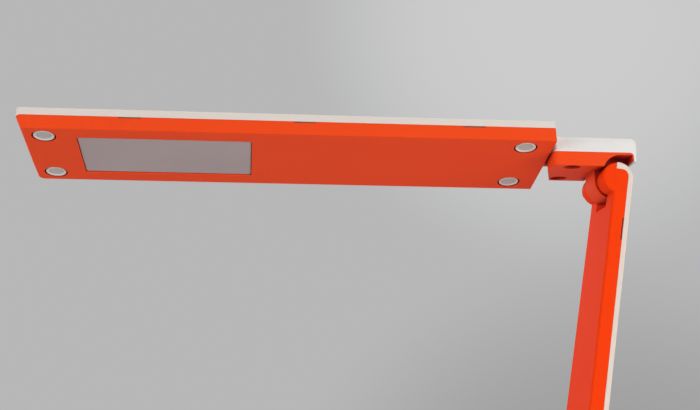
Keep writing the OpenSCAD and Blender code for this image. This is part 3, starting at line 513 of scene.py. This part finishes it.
def makeArmShell(shape):
    piece = copyNode("arm_inner_shell", "armInnerShell")
    lower, upper = joints["arm_fold"], joints["neck_fold"]

    def fromPin(place, pin):
        return math.hypot(place.x - pin.x, place.z - pin.z)

    def isOuterRim(face):  # not the wall of a pin's hole
        hole = shape["pinHole"] * mm
        return (face.normal.x < shape["backwards"] and abs(face.normal.y) < sideOn
                and fromPin(face.center, lower) > hole and fromPin(face.center, upper) > hole)

    roundBetween(
        piece,
        lambda face: abs(face.normal.y) > nearlyFaceOn and face.area > shape["wideFace"] * mm * mm,
        isOuterRim, shape["rounding"], shape["steps"],
        lambda middle: middle.y < 0 or fromPin(middle, lower) > shape["sharpEar"] * mm)
    return piece


capSpan = 12  # mm, more than a cap is wide and less than the way to the next one


# The middle of each screw cap, at the head's underside
def capMiddles():
    places = [vertex.co for vertex in nodes["screw_caps"].data.vertices]
    reach = max(place.dot(headDown) for place in places)
    groups = []
    for place in places:
        near = next((group for group in groups if (group[0] - place).length < capSpan * mm), None)
        if near is None:
            groups.append([place])
        else:
            near.append(place)
    middles = [sum(group, Vector()) / len(group) for group in groups]
    return [middle + headDown * (reach - middle.dot(headDown)) for middle in middles]


# Grows or shrinks what lies near a middle and between two distances from its axis
def resizeRound(piece, middle, least, most, share):
    openEdges(piece, "VERT")
    bpy.ops.object.mode_set(mode="OBJECT")
    for vertex in piece.data.vertices:
        off = vertex.co - middle
        deep = off.dot(headDown)
        vertex.select = least < (off - headDown * deep).length < most and abs(deep) < most
    bpy.ops.object.mode_set(mode="EDIT")
    bpy.ops.transform.resize(value=(share,) * 3, center_override=middle)
    bpy.ops.object.mode_set(mode="OBJECT")


# Head tray: soft edges round the window, a gap round each cap,
# and one far corner rounded down the sloping end
trayShape = {
    "windowRounding": 0.45, "steps": 3, "windowMargin": 1,  # mm, steps, mm
    "capGap": 1.09, "capRim": (4.5, 5.3),  # share, mm
    "corner": 3, "seamDepth": 6.7, "cuts": (15, 30, 45, 60, 75),  # mm, mm, degrees round the corner
}


def makeTray(shape):
    piece = copyNode("head_tray", "headTray")
    low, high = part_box("diffuser")
    margin = shape["windowMargin"] * mm

    def isWindowWall(face):
        return (abs(face.normal.dot(headDown)) < sideOn
                and low.x - margin < face.center.x < high.x + margin
                and low.y - margin < face.center.y < high.y + margin)

    roundBetween(piece, lambda face: face.normal.dot(headDown) > faceOn, isWindowWall,
                 shape["windowRounding"], shape["steps"])
    for middle in capMiddles():
        resizeRound(piece, middle, shape["capRim"][0] * mm, shape["capRim"][1] * mm, shape["capGap"])
    # Flat cuts round the far corner, all leaning as the sloping end does
    along = Vector((1, 0, 0))
    far = along.cross(headDown)
    far = far if far.y > 0 else -far
    places = [vertex.co.copy() for vertex in piece.data.vertices]
    floor = max(place.dot(headDown) for place in places)
    onFloor = [place for place in places if floor - place.dot(headDown) < sameWithin["floor"] * mm]
    endTop = min(place.x for place in places)
    endFloor = min(place.x for place in onFloor)
    farReach = max(place.dot(far) for place in places)
    corner, depth = shape["corner"] * mm, shape["seamDepth"] * mm
    middle = along * (endTop + corner) + far * (farReach - corner) + headDown * (floor - depth)
    down = along * (endFloor - endTop) + headDown * depth
    for angle in shape["cuts"]:
        turn = math.radians(angle)
        out = far * math.sin(turn) - along * math.cos(turn)
        across = far * math.cos(turn) + along * math.sin(turn)
        plane = across.cross(down).normalized()
        plane = plane if plane.dot(out) > 0 else -plane
        openEdges(piece)
        bpy.ops.mesh.select_all(action="SELECT")
        bpy.ops.mesh.bisect(
            plane_co=middle + out * corner, plane_no=plane, use_fill=True, clear_outer=True)
        bpy.ops.object.mode_set(mode="OBJECT")
    return piece


# Screw caps: a pale rounded rim that stands round a dish painted greyer as shade, and a dark gap about them
capShape = {
    "rounding": 0.3, "steps": 3, "deeper": 0.2,  # mm, steps, mm
    "dishFace": 20,  # mm2, what only the dish's floor exceeds
    "flange": (4.85, 5.3), "flangeFit": 0.94,  # mm, share
}


def makeCaps(shape):
    piece = copyNode("screw_caps", "screwCaps")
    reach = capMiddles()[0].dot(headDown)

    def isRim(face):
        return (face.normal.dot(headDown) > faceOn
                and reach - face.center.dot(headDown) < sameWithin["levels"] * mm)

    roundBetween(piece, isRim, lambda face: abs(face.normal.dot(headDown)) < sideOn,
                 shape["rounding"], shape["steps"])
    for middle in capMiddles():
        resizeRound(piece, middle, shape["flange"][0] * mm, shape["flange"][1] * mm, shape["flangeFit"])
    # Painted shade: the dish's floor gets the greyer copy of the cap's material
    piece.data.materials.append(materials["capDishShade"])
    openEdges(piece, "FACE")
    bpy.ops.object.mode_set(mode="OBJECT")
    for face in piece.data.polygons:
        face.select = face.normal.dot(headDown) > faceOn and face.area > shape["dishFace"] * mm * mm
    bpy.ops.object.mode_set(mode="EDIT")
    piece.active_material_index = 1
    bpy.ops.object.material_slot_assign()
    bpy.ops.transform.translate(value=headDown * -shape["deeper"] * mm)
    bpy.ops.object.mode_set(mode="OBJECT")
    return piece


# Window: the opal plate's lit face has soft edges
windowShape = {"rounding": 0.45, "steps": 3}  # mm


def makeWindow(shape):
    piece = copyNode("diffuser", "frostedWindow")
    roundBetween(
        piece, lambda face: face.normal.dot(headDown) > faceOn,
        lambda face: abs(face.normal.dot(headDown)) < sideOn, shape["rounding"], shape["steps"])
    return piece


# Push button: a soft rim and a deeper dish for the fingertip
buttonShape = {
    "rounding": 0.12, "steps": 3, "slope": 2.5, "deeper": 0.25,  # mm, steps, mm, mm
    "dishFace": 80,  # mm2, what only the dish's floor exceeds
}


def makeButton(shape):
    piece = copyNode("power_button", "pushButton")
    top = max(vertex.co.z for vertex in piece.data.vertices)
    roundBetween(
        piece,
        lambda face: face.normal.z > faceOn and top - face.center.z < sameWithin["levels"] * mm,
        lambda face: abs(face.normal.z) < sideOn, shape["rounding"], shape["steps"])
    openEdges(piece, "FACE")
    bpy.ops.object.mode_set(mode="OBJECT")
    for face in piece.data.polygons:
        face.select = face.normal.z > faceOn and face.area > shape["dishFace"] * mm * mm
    bpy.ops.object.mode_set(mode="EDIT")
    bpy.ops.mesh.inset(thickness=shape["slope"] * mm, depth=0)
    bpy.ops.transform.translate(value=(0, 0, -shape["deeper"] * mm))
    bpy.ops.object.mode_set(mode="OBJECT")
    return piece


# Small roundings that a mould or a tumbler leaves on every edge, in mm
edgeRounding = {
    "sharpAbove": 32,  # degrees between two faces
    "steps": 2,
    "flatShare": 100,  # the highest, so that big faces stay flat beside the small ones
    "orange": 0.15, "white": 0.15, "button": 0.12, "cap": 0.04, "frosted": 0.1, "pad": 0.4,
    "steel": 0.08, "spring_steel": 0.04, "ballast": 0.25, "spreader": 0.06, "board": 0.08,
    "black": 0.1, "ribbon": 0.1, "reflector": 0.08, "phosphor": 0.06, "lens": 0.12,
}


def roundEdges(piece, width, values):
    weld = piece.modifiers.new("joined", "WELD")
    weld.merge_threshold = sameWithin["points"] * mm
    flat = piece.modifiers.new("plane faces", "DECIMATE")
    flat.decimate_type = "DISSOLVE"
    flat.angle_limit = math.radians(sameWithin["planes"])
    bevel = piece.modifiers.new("rounded edges", "BEVEL")
    bevel.width = width * mm
    bevel.segments = values["steps"]
    bevel.limit_method = "ANGLE"
    bevel.angle_limit = math.radians(values["sharpAbove"])
    bevel.use_clamp_overlap = False
    smooth = piece.modifiers.new("even shading", "WEIGHTED_NORMAL")
    smooth.keep_sharp = False
    smooth.weight = values["flatShare"]


reworked = {
    "head_tray": makeTray(trayShape),
    "arm_inner_shell": makeArmShell(armShape),
    "screw_caps": makeCaps(capShape),
    "diffuser": makeWindow(windowShape),
    "power_button": makeButton(buttonShape),
}
print("pieces reworked:", len(reworked))
for name, node in nodes.items():
    roundEdges(reworked.get(name, node), edgeRounding[slotOf[name]], edgeRounding)
print("edges rounded")


# Stage: pale floor, plain world with a soft glow behind the lamp, large soft lamps
stage = {
    "floorSize": 6, "fadeFrom": 0.28, "fadeTo": 0.62,  # metres
    "floorColour": "#C9C8C6", "floorDeep": "#C4C3C1", "floorGloss": 0.8, "cloudSize": 400,  # mm
    "backdrop": "#B7B7B8", "glow": "#CBCCCB", "shade": "#9B9B9B",
    "glowTowards": (0.2536, 0.9042, 0.3439), "shadeTowards": (0.2955, 0.9435, -0.1496),
    "glowSpread": 13.5, "shadeSpread": 18,  # degrees
    "worldLight": 0.5,
    "aim": (0.05, 0, 0.3),
    "lamps": {
        "left": {"at": (-1.1, -0.75, 0.1), "size": 0.8, "watts": 11.8},
        "right": {"at": (0.9, -0.6, 0.1), "size": 0.6, "watts": 9.1},
        "top": {"at": (0.1, 0.25, 1.7), "size": 1.6, "watts": 9},
        "back": {"at": (-0.6, 1.9, 1.4), "size": 2, "watts": 7.7},
    },
}


def seenRays(tree):  # 1 for rays that show the backdrop: camera, mirror and glass
    path = addNode(tree, "ShaderNodeLightPath")
    seen = addNode(tree, "ShaderNodeMath", {
        0: path.outputs["Is Camera Ray"], 1: path.outputs["Is Glossy Ray"]}, operation="ADD")
    seen = addNode(tree, "ShaderNodeMath", {
        0: seen.outputs[0], 1: path.outputs["Is Transmission Ray"]}, operation="ADD", use_clamp=True)
    return seen.outputs[0]


def makeFloor(values):
    bpy.ops.mesh.primitive_plane_add(size=values["floorSize"])
    floor = bpy.context.object
    floor.name = "floor"
    material, tree = newMaterial("paleFloor")
    place = addNode(tree, "ShaderNodeTexCoord").outputs["Object"]
    cloud = addNode(tree, "ShaderNodeTexNoise", {
        "Vector": place, "Scale": 1 / (values["cloudSize"] * mm), "Detail": 2})
    tint = addNode(tree, "ShaderNodeMix", {
        "Factor": cloud.outputs["Fac"],
        6: colour(values["floorColour"]), 7: colour(values["floorDeep"])}, data_type="RGBA")
    surface = addNode(tree, "ShaderNodeBsdfPrincipled", {
        "Base Color": tint.outputs[2], "Roughness": values["floorGloss"]})
    # Seen from the camera, in mirrors and through glass, the floor thins out into the backdrop
    reach = addNode(tree, "ShaderNodeVectorMath", {0: place}, operation="LENGTH")
    fade = addNode(tree, "ShaderNodeMapRange", {
        "Value": reach.outputs["Value"], "From Min": values["fadeFrom"], "From Max": values["fadeTo"]},
        interpolation_type="SMOOTHSTEP")
    clear = addNode(tree, "ShaderNodeMath", {
        0: fade.outputs[0], 1: seenRays(tree)}, operation="MULTIPLY")
    through = addNode(tree, "ShaderNodeBsdfTransparent")
    closeMaterial(tree, addNode(tree, "ShaderNodeMixShader", {
        "Fac": clear.outputs[0], 1: surface.outputs[0], 2: through.outputs[0]}))
    floor.data.materials.append(material)


def makeWorld(values):
    world = bpy.data.worlds.new("studio")
    bpy.context.scene.world = world
    world.use_nodes = True
    tree = world.node_tree
    tree.nodes.clear()
    towards = addNode(tree, "ShaderNodeTexCoord").outputs["Generated"]
    tone = colour(values["backdrop"])
    for patch in ("glow", "shade"):
        near = addNode(tree, "ShaderNodeVectorMath", {
            0: towards, 1: values[patch + "Towards"]}, operation="DOT_PRODUCT")
        spread = math.radians(values[patch + "Spread"])
        amount = addNode(tree, "ShaderNodeMapRange", {
            "Value": near.outputs["Value"], "From Min": math.cos(spread)},
            interpolation_type="SMOOTHSTEP")
        tone = addNode(tree, "ShaderNodeMix", {
            "Factor": amount.outputs[0], 6: tone, 7: colour(values[patch])}, data_type="RGBA").outputs[2]
    # Camera, mirror and glass rays see the backdrop; all other light is plain and even
    light = values["worldLight"]
    sky = addNode(tree, "ShaderNodeMix", {
        "Factor": seenRays(tree), 6: (light, light, light, 1), 7: tone}, data_type="RGBA")
    backdrop = addNode(tree, "ShaderNodeBackground", {"Color": sky.outputs[2], "Strength": 1})
    addNode(tree, "ShaderNodeOutputWorld", {"Surface": backdrop.outputs[0]})


def makeLamps(values):
    aim = Vector(values["aim"])
    for name, lamp in values["lamps"].items():
        light = bpy.data.lights.new(name, "AREA")
        light.size = lamp["size"]
        light.energy = lamp["watts"]
        holder = bpy.data.objects.new(name, light)
        bpy.context.scene.collection.objects.link(holder)
        holder.location = lamp["at"]
        holder.rotation_euler = (aim - holder.location).to_track_quat("-Z", "Y").to_euler()
        holder.visible_camera = False


makeFloor(stage)
makeWorld(stage)
makeLamps(stage)
bpy.context.scene.view_settings.view_transform = "Standard"
print("stage made")
